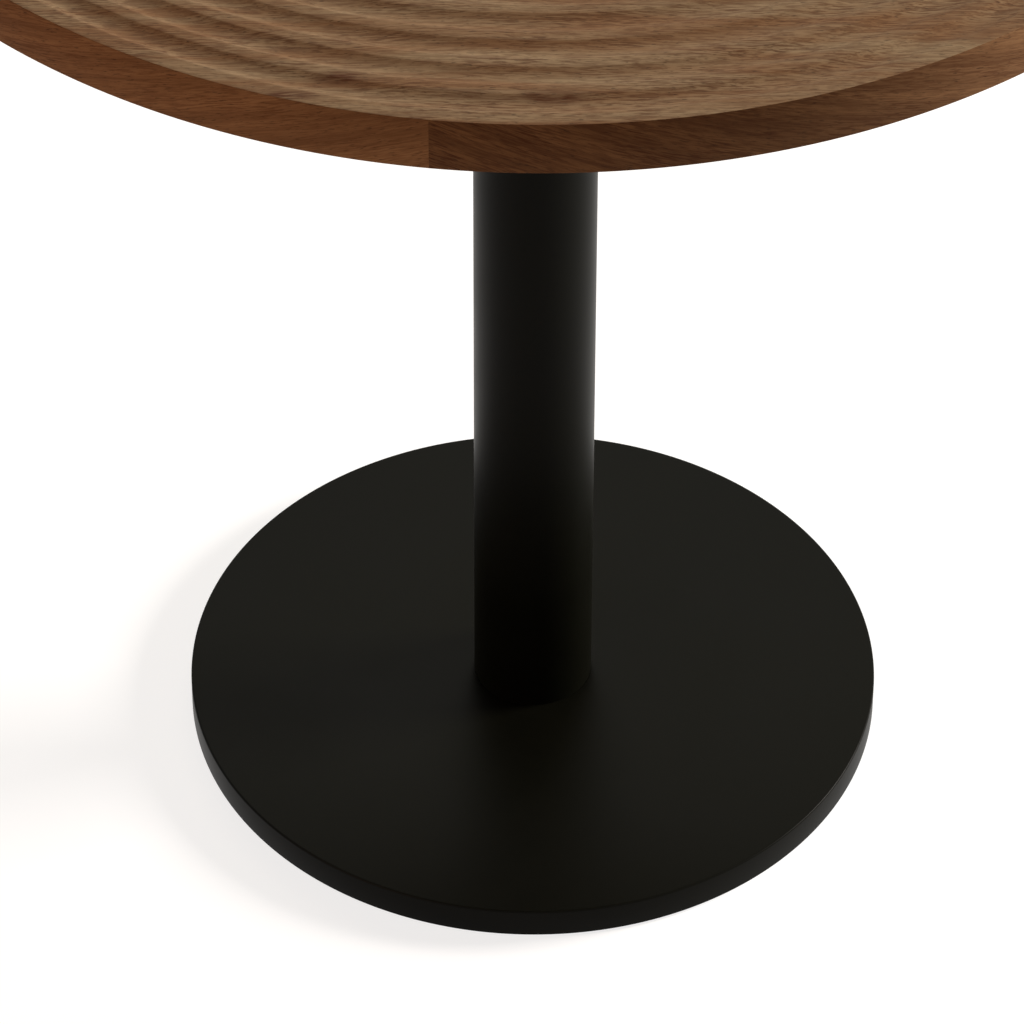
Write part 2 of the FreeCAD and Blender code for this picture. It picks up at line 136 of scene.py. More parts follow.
class TopSettings(bpy.types.PropertyGroup):
    """The wooden top."""

    rim_land: length("Border", 9, "Flat border outside the first groove")
    groove_width: length("Groove width", 14.2, "Turned groove from edge to edge")
    groove_depth: length("Groove depth", 1.6, "Turned groove at its middle")
    land_width: length("Ring width", 6.4, "Flat ring between two grooves")
    plain_middle: length("Plain middle", 25, "Least radius of the plain disc inside the last groove")
    arris: length("Softened edge", 0.3, "How far sanding has taken down each groove's edge")
    band_arris: length("Band edge", 0.3, "Sanded radius along the band's outer edges")
    joint_azimuth: FloatProperty(
        name="Band joint", description="Where the two ends of the band meet, from +X",
        default=math.radians(-97.6), subtype="ANGLE",
    )
    joint_gap: length("Joint gap", 0.05, "Between the two ends of the band")
    # Past this reach the band pales quickly, and that paling is painted sheen of a light on the right
    dark_run_to_sheen: length("Dark end", 230, "How far the band's darker wood reaches from the joint")
    grain_tilt: FloatProperty(
        name="Grain slope", description="How steeply the band's grain climbs to the joint", default=0.36,
    )
    light_wood: colour("Light wood", "#8e775b", "Palest wood of the face")
    middle_wood: colour("Middle wood", "#7e5e41", "Browner drifts in the face")
    # The band's tones are deeper and redder than the face's, partly as painted shade of its upright side
    light_band: colour("Light band", "#826042", "Palest wood of the edge band")
    middle_band: colour("Middle band", "#6d4d32", "Browner drifts in the edge band")
    dark_wood: colour("Fibres", "#4a260f", "Thin dark fibres and knots")
    pore_wood: colour("Pores", "#2e1a0d", "Short open pores")


class FootSettings(bpy.types.PropertyGroup):
    """The column, the base and the plate under the top."""

    cover_sheet: length("Sheet", 2, "Steel sheet of the base cover")
    cover_edge: length("Edge radius", 1.2, "Outside radius of the cover's upper edge")
    column_wall: length("Tube wall", 2, "Wall of the column's tube")
    coat: colour("Coating", "#070704", "Powder coat on the steel")
    iron: colour("Primer", "#2d2c2a", "Primer on the cast ballast")


class HardwareSettings(bpy.types.PropertyGroup):
    """Fasteners and glides."""

    bolt_diameter: length("Bolt", 8, "Bolt and glide thread")
    bolt_pitch: length("Bolt pitch", 1.25, "Pitch of the bolt and glide thread")
    bolt_head: length("Bolt head", 14, "Domed head of a plate bolt")
    bolt_key: length("Bolt key", 5, "Hexagon socket of a plate bolt, across its flats")
    bolt_count: IntProperty(name="Bolts", description="Bolts round the plate", default=6, min=3)
    rod_pitch: length("Rod pitch", 1.75, "Pitch of the tie rod's thread")
    rod_thread: length("Rod thread", 42, "Length of thread on each end of the tie rod")
    nut_width: length("Nut", 18, "Hexagon nut, across its flats")
    glide_key: length("Glide key", 4, "Hexagon socket of a glide stem, across its flats")
    zinc: colour("Zinc", "#b4b6b8", "Bright zinc plating")
    nylon: colour("Nylon", "#1b1b1c", "Moulded feet")


class StageSettings(bpy.types.PropertyGroup):
    """Floor, light and camera."""

    floor: colour("Floor", "#f3ece1", "Pale studio floor")
    key_watts: power("Key light", 240, "Low soft light from the right")
    back_watts: power("Back light", 36, "Large soft light above and behind")
    fill_watts: power("Fill light", 32, "Soft light from the left and front")
    ambient: FloatProperty(
        name="Ambient", description="Even light from all round", default=0.06, min=0, subtype="FACTOR",
    )
    lens: FloatProperty(name="Lens", description="Focal length", default=224.62, min=1, unit="CAMERA")


class TableSettings(bpy.types.PropertyGroup):
    """Everything that the operators read."""

    top: PointerProperty(type=TopSettings)
    foot: PointerProperty(type=FootSettings)
    hardware: PointerProperty(type=HardwareSettings)
    stage: PointerProperty(type=StageSettings)


# Surfaces


def rounded(corners, radius, steps=4):
    """A closed outline of (radius, height) corners, each replaced by an arc tangent to both its sides.

    radius is one number or one for each corner. A corner on the axis stays sharp, and an arc takes up
    less than half of its shorter side.
    """
    longest = 0.45
    corners = np.asarray(corners, float)
    wanted = np.broadcast_to(radius, len(corners))
    before = np.roll(corners, 1, axis=0) - corners
    after = np.roll(corners, -1, axis=0) - corners
    sides = np.minimum(np.linalg.norm(before, axis=1), np.linalg.norm(after, axis=1))
    before /= np.linalg.norm(before, axis=1)[:, None]
    after /= np.linalg.norm(after, axis=1)[:, None]
    half = np.arccos(np.clip((before * after).sum(1), -1, 1)) / 2
    reach = np.minimum(wanted / np.tan(half), longest * sides)
    reach[corners[:, 0] <= 0] = 0
    start = corners + before * reach[:, None]
    end = corners + after * reach[:, None]
    share = np.linspace(0, 1, steps + 1)[None, :, None]
    # A quadratic through the corner's own weight draws the arc of a circle
    weight = np.sin(half)[:, None, None]
    blend = (1 - share) ** 2, 2 * weight * share * (1 - share), share ** 2
    curve = blend[0] * start[:, None] + blend[1] * corners[:, None] + blend[2] * end[:, None]
    curve /= blend[0] + blend[1] + blend[2]
    points = curve.reshape(-1, 2)
    apart = np.linalg.norm(points - np.roll(points, 1, axis=0), axis=1) > SAME_POINT
    return points[apart]


def angles(segments):
    """Evenly spaced directions of one full turn."""
    return np.arange(segments) * TURN / segments


def hexagon(directions, across_flats):
    """Distance from the middle of a hexagon to its side in each direction, with a corner at direction 0."""
    sixth = TURN / 6
    return across_flats / 2 / np.cos(directions % sixth - sixth / 2)


def spun(rows, heights, directions, centre=(0, 0)):
    """Points round an upright axis, at a height for each row and a radius for each row and direction.

    x is radius times the cosine of the direction, y its sine, and z the height.
    """
    radii = np.array(rows)
    heights = np.broadcast_to(np.reshape(heights, (-1, 1)), radii.shape)
    flat = centre[0] + radii * np.cos(directions), centre[1] + radii * np.sin(directions)
    return np.stack([*flat, heights], axis=-1)


def swept(profile, directions, centre=(0, 0)):
    """Points of a profile of (radius, height) carried through the directions: one row per profile point."""
    profile = np.asarray(profile, float)
    return spun(np.repeat(profile[:, :1], len(directions), axis=1), profile[:, 1], directions, centre)


def turned(profile, segments, centre=(0, 0)):
    """Points of a profile of (radius, height) carried round one full turn."""
    return swept(profile, angles(segments), centre)


def capped(points):
    """Closes both ends of a swept section by drawing its last ring in to the section's middle."""
    ends = points.mean(axis=0, keepdims=True)
    first = np.repeat(ends[:, :1], len(points), axis=0)
    last = np.repeat(ends[:, -1:], len(points), axis=0)
    return np.concatenate([first, points, last], axis=1)


def thread_rows(start, end, pitch):
    """Heights of the rows of points along a screw thread."""
    return np.arange(start, end, pitch / THREAD_ROWS)


def thread_radii(heights, directions, radius, pitch):
    """Radius of a right-handed screw: a triangle wave of height in pitches less the share of a turn."""
    phase = (heights[:, None] / pitch - directions[None, :] / TURN) % 1
    return radius - THREAD_DEPTH * pitch * np.abs(2 * phase - 1)


def quads(rows, columns, close_rows, close_columns):
    """Corner numbers of the four-sided faces of a grid of points, joined end to end where it closes."""
    row = np.arange(rows if close_rows else rows - 1)[:, None]
    column = np.arange(columns if close_columns else columns - 1)[None, :]
    next_row = (row + 1) % rows
    next_column = (column + 1) % columns
    corners = (row, column), (row, next_column), (next_row, next_column), (next_row, column)
    return np.stack([a * columns + b for a, b in corners], axis=-1).reshape(-1, 4)


def grid_mesh(name, grids, close_rows=True, close_columns=True, sharp=30):
    """One mesh from several grids of points, with poles and seams merged and faces turned outwards.

    An edge whose faces turn by more than sharp, in degrees, is shaded as a crisp one.
    """
    vertices = np.concatenate([grid.reshape(-1, 3) for grid in grids])
    faces = []
    first = 0
    for grid in grids:
        faces.append(quads(grid.shape[0], grid.shape[1], close_rows, close_columns) + first)
        first += grid.shape[0] * grid.shape[1]
    mesh = bpy.data.meshes.new(name)
    mesh.from_pydata(vertices, [], np.concatenate(faces))
    work = bmesh.new()
    work.from_mesh(mesh)
    bmesh.ops.remove_doubles(work, verts=work.verts, dist=SAME_POINT)
    bmesh.ops.recalc_face_normals(work, faces=work.faces)
    work.to_mesh(mesh)
    work.free()
    mesh.shade_smooth()
    mesh.set_sharp_from_angle(angle=math.radians(sharp))
    return mesh


def add_piece(mesh, material, body, slot, *nodes):
    """Puts a mesh into the scene as a piece that stands for CAD nodes and rides on their body."""
    piece = bpy.data.objects.new(mesh.name, mesh)
    bpy.context.scene.collection.objects.link(piece)
    mesh.materials.append(material)
    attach(piece, body)
    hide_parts(*nodes)


def dress(node, material):
    """Gives a CAD node that keeps its own shape a material."""
    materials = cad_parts[node].data.materials
    materials.clear()
    materials.append(material)


# Materials


def add_node(tree, kind, inputs=None, stops=(), **settings):
    """Adds a node with its settings, ramp stops, and values or feeding sockets or nodes for its inputs."""
    made = tree.nodes.new(kind)
    for name, setting in settings.items():
        setattr(made, name, setting)
    for name, given in (inputs or {}).items():
        if isinstance(given, bpy.types.Node):
            given = given.outputs[0]
        if isinstance(given, bpy.types.NodeSocket):
            tree.links.new(given, made.inputs[name])
        else:
            made.inputs[name].default_value = given
    for index, (place, tone) in enumerate(stops):
        elements = made.color_ramp.elements
        element = elements[index] if index < len(elements) else elements.new(place)
        element.position = place
        element.color = (*tone, 1)
    return made


def cells(*sizes):
    """Pattern scale that gives cells of these sizes, in millimetres, along the three axes."""
    return tuple(1 / (size * MM) for size in sizes)


def new_material(name, surface):
    """A named material with its shader, whose even values are set on the shader's own sockets."""
    material = bpy.data.materials.get(name) or bpy.data.materials.new(name)
    material.use_nodes = True
    tree = material.node_tree
    tree.nodes.clear()
    shader = add_node(tree, "ShaderNodeBsdfPrincipled", surface)
    add_node(tree, "ShaderNodeOutputMaterial", {"Surface": shader})
    return material, tree, shader


def bent_grain(tree, place):
    """The places of straight grain, pushed aside by two slow noises."""
    for sizes, sway in ((cells(190, 50, 50), 10 * MM), (cells(55, 22, 22), 3 * MM)):
        spot = add_node(tree, "ShaderNodeMapping", {"Vector": place, "Scale": sizes})
        bend = add_node(tree, "ShaderNodeTexNoise", {"Vector": spot, "Scale": 1.0, "Detail": 1.0})
        moved = {0: bend.outputs["Color"], 1: (0, sway, sway), 2: place}
        place = add_node(tree, "ShaderNodeVectorMath", moved, operation="MULTIPLY_ADD").outputs[0]
    return place


def knot_mark(tree, place, fibre, knot):
    """A soft-edged oval, broken up by fibres: its middle, half length and half width in millimetres."""
    x, y, long, wide = knot
    spread = np.array([1 / (long * MM), 1 / (wide * MM), 0])
    centre = np.array([x, y, 0]) * MM
    centred = {"Vector": place, "Scale": tuple(spread), "Location": tuple(-centre * spread)}
    local = add_node(tree, "ShaderNodeMapping", centred)
    away = add_node(tree, "ShaderNodeVectorMath", {0: local}, operation="LENGTH").outputs["Value"]
    fade = {"Value": away, "From Min": 0.2, "From Max": 1.0, "To Min": 1.0, "To Max": 0.0}
    oval = add_node(tree, "ShaderNodeMapRange", fade, interpolation_type="SMOOTHSTEP")
    streaks = {"Value": fibre, "From Min": 0.36, "From Max": 0.6, "To Min": 0.42}
    broken = add_node(tree, "ShaderNodeMapRange", streaks)
    return add_node(tree, "ShaderNodeMath", {0: oval, 1: broken}, operation="MULTIPLY")


def wood(name, tones, roughness, surface, strip=False, knots=()):
    """Open-pored hardwood with its grain along the first axis, or along a bent strip.

    tones are the light, middle, dark and pore colours. A long noise drifts between light and middle wood,
    dark streaks follow the growth rings, thin dark fibres gather in patches, and short pores lie between
    them. The roughness swings by a little to either side along the fibres.
    """
    swing = 0.08
    heart_tint = linear("#d6d0c8")
    light, middle, dark, pore = (tuple(tone) for tone in tones)
    material, tree, shader = new_material(name, surface)
    if strip:
        straight = add_node(tree, "ShaderNodeAttribute", attribute_name="strip").outputs["Vector"]
    else:
        straight = add_node(tree, "ShaderNodeTexCoord").outputs["Object"]
    place = bent_grain(tree, straight)
    # Walnut's pores are about 0.2 mm wide, so fibres and pores are drawn three times coarser, to show
    layers = {}
    for layer, sizes, detail in (
        ("drift", cells(150, 10, 10), 4.0), ("patch", cells(50, 13, 13), 2.0),
        ("streak", cells(60, 2.2, 2.2), 3.0), ("fibre", cells(10, 0.85, 0.85), 4.0),
        ("pores", cells(4.5, 0.6, 0.6), 1.0),
    ):
        spot = add_node(tree, "ShaderNodeMapping", {"Vector": place, "Scale": sizes})
        noise = {"Vector": spot, "Scale": 1.0, "Detail": detail}
        layers[layer] = add_node(tree, "ShaderNodeTexNoise", noise)
    tone = add_node(
        tree, "ShaderNodeValToRGB", {"Fac": layers["drift"]}, stops=((0.38, middle), (0.62, light)),
    ).outputs["Color"]
    gathered = {"Value": layers["patch"], "From Min": 0.36, "From Max": 0.62, "To Min": 0.5, "To Max": 1.0}
    share = add_node(tree, "ShaderNodeMapRange", gathered)
    thin = {"Value": layers["fibre"], "From Min": 0.42, "From Max": 0.62, "To Max": 0.72}
    drawn = add_node(tree, "ShaderNodeMapRange", thin, interpolation_type="SMOOTHSTEP")
    fibres = add_node(tree, "ShaderNodeMath", {0: share, 1: drawn}, operation="MULTIPLY")
    long_lines = {"Value": layers["streak"], "From Min": 0.5, "From Max": 0.68, "To Max": 0.5}
    lines = add_node(tree, "ShaderNodeMapRange", long_lines, interpolation_type="SMOOTHSTEP")
    fibres = add_node(tree, "ShaderNodeMath", {0: fibres, 1: lines}, operation="MAXIMUM")
    if strip:
        # The darker end of the strip was cut nearer the heart and shows more fibres. Where that end fades
        # past its reach, the paler wood is painted sheen of a light on the band's right.
        heart_and_sheen = add_node(tree, "ShaderNodeAttribute", attribute_name="strip_tone_and_sheen").outputs["Fac"]
        marked = add_node(tree, "ShaderNodeMapRange", {"Value": heart_and_sheen, "To Min": 0.7, "To Max": 1.15})
        fibres = add_node(tree, "ShaderNodeMath", {0: fibres, 1: marked}, operation="MULTIPLY")
    for knot in knots:
        mark = knot_mark(tree, straight, layers["fibre"], knot)
        fibres = add_node(tree, "ShaderNodeMath", {0: fibres, 1: mark}, operation="MAXIMUM")
    short = {"Value": layers["pores"], "From Min": 0.62, "From Max": 0.72, "To Max": 0.6}
    pores = add_node(tree, "ShaderNodeMapRange", short)
    for mask, stain in ((fibres, dark), (pores, pore)):
        stained = {"Factor": mask, "A": tone, "B": (*stain, 1)}
        tone = add_node(tree, "ShaderNodeMix", stained, data_type="RGBA").outputs["Result"]
    if strip:
        # The heart end's tint; where it fades past the dark end's reach, the paler wood is painted sheen
        stained = {"Factor": heart_and_sheen, "A": tone, "B": (*heart_tint, 1)}
        darkened = add_node(tree, "ShaderNodeMix", stained, data_type="RGBA", blend_type="MULTIPLY")
        tone = darkened.outputs["Result"]
    tree.links.new(tone, shader.inputs["Base Color"])
    worn = {"Value": layers["fibre"], "To Min": roughness - swing, "To Max": roughness + swing}
    tree.links.new(add_node(tree, "ShaderNodeMapRange", worn).outputs[0], shader.inputs["Roughness"])
    sunk = add_node(tree, "ShaderNodeMath", {0: layers["fibre"], 1: pores}, operation="SUBTRACT")
    relief = {"Height": sunk, "Strength": 0.2, "Distance": 0.12 * MM}
    tree.links.new(add_node(tree, "ShaderNodeBump", relief).outputs[0], shader.inputs["Normal"])
    return material


def skin(name, tones, patch, grit, roughness, relief, surface):
    """A surface of one substance, with cloudy patches of two tones and fine grit, sizes in millimetres.

    The patches also move the roughness between its two values, and the grit stands up by the relief.
    """
    darker, paler = (tuple(tone) for tone in tones)
    smoother, rougher = roughness
    material, tree, shader = new_material(name, surface)
    place = add_node(tree, "ShaderNodeTexCoord").outputs["Object"]
    spot = add_node(tree, "ShaderNodeMapping", {"Vector": place, "Scale": cells(patch, patch, patch)})
    cloud = add_node(tree, "ShaderNodeTexNoise", {"Vector": spot, "Scale": 1.0, "Detail": 4.0})
    tone = add_node(tree, "ShaderNodeValToRGB", {"Fac": cloud}, stops=((0.32, darker), (0.68, paler)))
    tree.links.new(tone.outputs["Color"], shader.inputs["Base Color"])
    worn = {"Value": cloud, "From Min": 0.3, "From Max": 0.7, "To Min": smoother, "To Max": rougher}
    tree.links.new(add_node(tree, "ShaderNodeMapRange", worn).outputs[0], shader.inputs["Roughness"])
    spot = add_node(tree, "ShaderNodeMapping", {"Vector": place, "Scale": cells(grit, grit, grit)})
    grain = add_node(tree, "ShaderNodeTexNoise", {"Vector": spot, "Scale": 1.0, "Detail": 2.0})
    raised = {"Height": grain, "Strength": 0.5, "Distance": relief * MM}
    tree.links.new(add_node(tree, "ShaderNodeBump", raised).outputs[0], shader.inputs["Normal"])
    return material


def face_wood(top):
    """Walnut, turned, sanded and oiled: warm tan with fine dark fibres, under a thin even sheen."""
    tones = top.light_wood, top.middle_wood, top.dark_wood, top.pore_wood
    # Three small knots near the front edge
    knots = (-95, -364, 22, 8), (-119, -378, 24, 6), (6, -378, 26, 8)
    surface = {"Specular IOR Level": 0.1}
    return wood("oiled_turned_walnut", tones, roughness=0.58, surface=surface, knots=knots)


def band_wood(top):
    """Walnut strip, bent and oiled: duller for being sanded along the grain, its deeper brown partly
    painted shade.
    """
    tones = top.light_band, top.middle_band, top.dark_wood, top.pore_wood
    surface = {"Specular IOR Level": 0.06}
    return wood("oiled_bent_walnut_strip", tones, roughness=0.6, surface=surface, strip=True)


def backing_wood(top):
    """Walnut veneer, sliced and lacquered on the underside: the face's tones with a dull finish."""
    tones = top.light_wood, top.middle_wood, top.dark_wood, top.pore_wood
    surface = {"Specular IOR Level": 0.2}
    return wood("sliced_walnut_backing_veneer", tones, roughness=0.55, surface=surface)


def core_wood():
    """Birch plywood, rotary cut: pale and plain, with little figure."""
    tones = [linear(code) for code in ("#cfae80", "#bd9a69", "#9a7647", "#7d5c36")]
    surface = {"Specular IOR Level": 0.2}
    return wood("rotary_cut_birch_plywood", tones, roughness=0.7, surface=surface)


def powder_coat(foot):
    """Polyester powder, sprayed and baked on steel: a faintly warm satin black with slight orange peel."""
    tones = foot.coat, shade(foot.coat, times=1.3)
    return skin(
        "satin_black_powder_coat", tones, patch=70, grit=1.6, roughness=(0.35, 0.41), relief=0.012,
        surface={"Specular IOR Level": 0.04},
    )


def cast_iron(foot):
    """Grey iron, cast in sand and dipped in primer: dark, dull and grainy."""
    tones = foot.iron, shade(foot.iron, times=1.8)
    # Moulding sand is about 0.3 mm, so its grit is drawn six times coarser, to show
    return skin(
        "primed_sand_cast_iron", tones, patch=30, grit=1.8, roughness=(0.62, 0.82), relief=0.35,
        surface={"Specular IOR Level": 0.3},
    )


def zinc_plate(hardware):
    """Steel, rolled or turned and bright zinc plated: a pale metal with a soft mottle."""
    tones = shade(hardware.zinc, times=0.7), hardware.zinc
    # The plating's own grain is about 0.05 mm and is drawn ten times coarser, to show
    return skin(
        "bright_zinc_plated_steel", tones, patch=4, grit=0.5, roughness=(0.26, 0.42), relief=0.01,
        surface={"Metallic": 1.0},
    )


def turned_steel():
    """Mild steel, turned and oiled: grey metal, a little darker than the plated parts."""
    tones = linear("#77787a"), linear("#9a9b9d")
    # The tool's marks are about 0.1 mm wide and are drawn four times coarser, to show
    return skin(
        "turned_mild_steel", tones, patch=6, grit=0.4, roughness=(0.3, 0.45), relief=0.02,
        surface={"Metallic": 1.0},
    )


def moulded_nylon(hardware):
    """Nylon, injection moulded in an etched tool: black with a soft sheen and light scuffs."""
    tones = hardware.nylon, shade(hardware.nylon, times=1.7)
    # The etch is about 0.15 mm and is drawn four times coarser, to show
    return skin(
        "moulded_black_nylon", tones, patch=7, grit=0.6, roughness=(0.42, 0.6), relief=0.03,
        surface={"IOR": 1.53},
    )


# Operators, one for each piece or group of like pieces


class TableOperator(bpy.types.Operator):
    """Shared by the operators that build the table."""

    bl_options = {"REGISTER", "UNDO"}

    @property
    def table(self):
        """The settings, which are kept on the scene."""
        return bpy.context.scene.pedestal_table


class TABLE_OT_turned_face(TableOperator):
    """Builds the face panel with its turned grooves."""

    bl_idname = "table.turned_face"
    bl_label = "Turned face"

    def execute(self, context):
        top = self.table.top
        low, high = levels("face_panel")
        edge = outer_radius("face_panel")
        radii, heights = self.grooved_profile(top, outer_radius("edge_band"), edge, high)
        profile = np.concatenate([[(0, low), (edge, low)], np.stack([radii, heights], axis=1)])
        mesh = grid_mesh("turned_face", [turned(profile, segments=200)], close_rows=False, sharp=50)
        add_piece(mesh, face_wood(top), FIXED_BODY, "oiled_face_wood", "face_panel")
        return {"FINISHED"}

    @staticmethod
    def grooved_profile(top, rim, edge, level):
        """Radius and height of the face from its edge to its middle.

        In each groove the depth is a cutter's arc, and a smooth maximum of that arc and the flat face
        softens the two edges: half of arc plus the root of arc squared plus softness squared.
        """
        pitch = top.groove_width + top.land_width
        half = top.groove_width / 2
        cutter = (half ** 2 + top.groove_depth ** 2) / (2 * top.groove_depth)
        count = int((rim - top.rim_land + top.land_width - top.plain_middle) // pitch)
        # Shares of half a groove, closer together at its edge, where sanding has rounded it
        shares = np.concatenate([np.linspace(0, 0.8, num=5), [0.9, 0.96, 1.0, 1.04, 1.1, 1.2]])
        side = shares * half
        across = np.concatenate([side[::-1], -side[1:], [-half - top.land_width / 2]])
        middles = rim - top.rim_land - half - pitch * np.arange(count)
        radii = (middles[:, None] + across).ravel()
        arc = np.sqrt(cutter ** 2 - across ** 2) - (cutter - top.groove_depth)
        depth = (arc + np.sqrt(arc ** 2 + top.arris ** 2)) / 2
        heights = level - np.tile(depth, count)
        radii = np.concatenate([[edge], radii, [0]])
        heights = np.concatenate([[level], heights, [level]])
        return radii, heights


class TABLE_OT_edge_band(TableOperator):
    """Builds the wooden strip bent round the rim, with its two ends butted together."""

    bl_idname = "table.edge_band"
    bl_label = "Edge band"

    def execute(self, context):
        top = self.table.top
        low, high = levels("edge_band")
        outer = outer_radius("edge_band")
        inner = outer_radius("face_panel")
        corners = (inner, low), (outer, low), (outer, high), (inner, high)
        section = rounded(corners, (0, top.band_arris, top.band_arris, 0), steps=3)
        gap = top.joint_gap / outer
        run = np.linspace(gap / 2, TURN - gap / 2, num=361)
        points = capped(swept(section, top.joint_azimuth + run))
        mesh = grid_mesh("edge_band_strip", [points], close_columns=False, sharp=50)
        self.lay_grain(mesh, top, outer)
        add_piece(mesh, band_wood(top), FIXED_BODY, "edge_band_wood", "edge_band")
        self.dress_upper_edge(mesh, face_wood(top))
        return {"FINISHED"}

    @staticmethod
    def dress_upper_edge(mesh, material):
        """Gives the strip's upper edge, which was turned and oiled with the face, the face's wood."""
        steepest = math.radians(40)
        mesh.materials.append(material)
        normals = np.empty(len(mesh.polygons) * 3)
        mesh.polygons.foreach_get("normal", normals)
        upward = normals[2::3] > math.cos(steepest)
        mesh.polygons.foreach_set("material_index", upward.astype(np.int32))

    @staticmethod
    def lay_grain(mesh, top, outer):
        """Stores each point's place on the flat strip: run along it, and height plus the grain's climb.

        The climb rises with the distance from the joint at the given slope, and levels off at the back. The
        wood's dark tone is a soft step, one over one plus a power of run over the dark end's reach: near
        the joint it is the wood's own darker end, and its quick fall past the reach is painted sheen of a
        light on the right.
        """
        abruptness = 6
        spots = np.empty(len(mesh.vertices) * 3)
        mesh.vertices.foreach_get("co", spots)
        x, y, z = spots.reshape(-1, 3).T
        run = (np.arctan2(y, x) - top.joint_azimuth) % TURN * outer
        whole = TURN * outer
        away = np.minimum(run, whole - run)
        climb = top.grain_tilt * (away / 2 + whole / (2 * TURN) * np.sin(TURN * away / whole))
        strip = np.stack([run, z + climb, np.hypot(x, y)], axis=1)
        mesh.attributes.new("strip", "FLOAT_VECTOR", "POINT").data.foreach_set("vector", strip.ravel())
        darkness_and_sheen = 1 / (1 + (run / top.dark_run_to_sheen) ** abruptness)
        mesh.attributes.new("strip_tone_and_sheen", "FLOAT", "POINT").data.foreach_set("value", darkness_and_sheen)


class TABLE_OT_top_layers(TableOperator):
    """Gives the core and the backing veneer their woods."""

    bl_idname = "table.top_layers"
    bl_label = "Core and backing"

    def execute(self, context):
        top = self.table.top
        dress("backing_veneer", backing_wood(top))
        dress("core_board", core_wood())
        return {"FINISHED"}


class TABLE_OT_column(TableOperator):
    """Builds the column's tube and dresses the plug at its head."""

    bl_idname = "table.column"
    bl_label = "Column"

    def execute(self, context):
        foot = self.table.foot
        low, high = levels("column_tube")
        outer = outer_radius("column_tube")
        inner = outer - foot.column_wall
        filed_edge = 0.3 * MM
        corners = (inner, low), (outer, low), (outer, high), (inner, high)
        mesh = grid_mesh("column_tube_coated", [turned(rounded(corners, filed_edge), segments=128)])
        add_piece(mesh, powder_coat(foot), FIXED_BODY, "black_powder_coat", "column_tube")
        dress("column_head_plug", turned_steel())
        return {"FINISHED"}


class TABLE_OT_base(TableOperator):
    """Builds the steel base cover and dresses the cast ballast inside it."""

    bl_idname = "table.base"
    bl_label = "Base"

    def execute(self, context):
        foot = self.table.foot
        low, high = levels("base_cover")
        outer = outer_radius("base_cover")
        sheet = foot.cover_sheet
        hole = outer_radius("column_tube") - foot.column_wall
        rim_edge, hole_edge = 0.4 * MM, 0.2 * MM
        corners = (
            (outer - sheet, low), (outer, low), (outer, high), (hole, high),
            (hole, high - sheet), (outer - sheet, high - sheet),
        )
        edges = rim_edge, rim_edge, foot.cover_edge, hole_edge, hole_edge, 0
        mesh = grid_mesh("base_cover_coated", [turned(rounded(corners, edges, steps=6), segments=256)])
        add_piece(mesh, powder_coat(foot), FIXED_BODY, "black_powder_coat", "base_cover")
        dress("ballast_disc", cast_iron(foot))
        return {"FINISHED"}


class TABLE_OT_top_plate(TableOperator):
    """Builds the steel plate under the top, with its bolts and washers."""

    bl_idname = "table.top_plate"
    bl_label = "Top plate and bolts"

    def execute(self, context):
        hardware = self.table.hardware
        low, high = levels("top_plate")
        outer = outer_radius("top_plate")
        chamfer, plate_edge = 1 * MM, 0.2 * MM
        corners = (0, low), (outer - chamfer, low), (outer, low + chamfer), (outer, high), (0, high)
        mesh = grid_mesh("top_plate_coated", [turned(rounded(corners, plate_edge), segments=160)])
        add_piece(mesh, powder_coat(self.table.foot), FIXED_BODY, "black_powder_coat", "top_plate")
        zinc = zinc_plate(hardware)
        circle = outer_radius("plate_bolts") - hardware.bolt_head / 2
        places = [(circle * math.cos(a), circle * math.sin(a)) for a in angles(hardware.bolt_count)]
        bolts = grid_mesh("domed_bolts", [self.bolt(hardware, place) for place in places], close_rows=False)
        add_piece(bolts, zinc, FIXED_BODY, "zinc_plated_steel", "plate_bolts")
        bottom, seat = levels("plate_washers")
        rim = outer_radius("plate_washers") - circle
        clearance, punched_edge = 0.5 * MM, 0.3 * MM
        bore = hardware.bolt_diameter / 2 + clearance
        ring = rounded(((bore, bottom), (rim, bottom), (rim, seat), (bore, seat)), punched_edge)
        washers = grid_mesh("bolt_washers", [turned(ring, segments=64, centre=place) for place in places])
        add_piece(washers, zinc, FIXED_BODY, "zinc_plated_steel", "plate_washers")
        dress("threaded_inserts", zinc)
        return {"FINISHED"}

    @staticmethod
    def bolt(hardware, place):
        """A domed bolt from its socket's floor, down the socket, over the dome and up the screwed shank.

        The dome is a quarter ellipse between a flat ring round the socket and a low upright skirt, and the
        socket's rows are hexagons, flared a little at its mouth.
        """
        flat_ring, skirt = 1.1 * MM, 0.3 * MM
        socket, drilled_point, bevel, flare = 2.6 * MM, 0.6 * MM, 0.2 * MM, 1.04
        plain_neck, end_taper, end_radius = 1 * MM, 0.8 * MM, 2.9 * MM
        low, high = levels("plate_bolts")
        seat = levels("plate_washers")[0]
        directions = angles(segments=48)
        ones = np.ones_like(directions)
        key = hexagon(directions, hardware.bolt_key)
        head = hardware.bolt_head / 2
        shank = hardware.bolt_diameter / 2
        crown = hardware.bolt_key * CORNER_REACH + flat_ring
        bend = np.linspace(0, math.pi / 2, num=9)
        dome = crown + (head - crown) * np.sin(bend)
        dome_levels = seat - skirt - (seat - skirt - low) * np.cos(bend)
        screwed = thread_rows(seat + plain_neck, high - end_taper, hardware.bolt_pitch)
        screw = thread_radii(screwed, directions, shank, hardware.bolt_pitch)
        rows = [
            0 * ones, key, key, flare * key, *(radius * ones for radius in dome), head * ones,
            shank * ones, *screw, end_radius * ones, 0 * ones,
        ]
        heights = [
            low + socket + drilled_point, low + socket, low + bevel, low, *dome_levels, seat,
            seat, *screwed, high, high,
        ]
        return spun(rows, heights, directions, place)


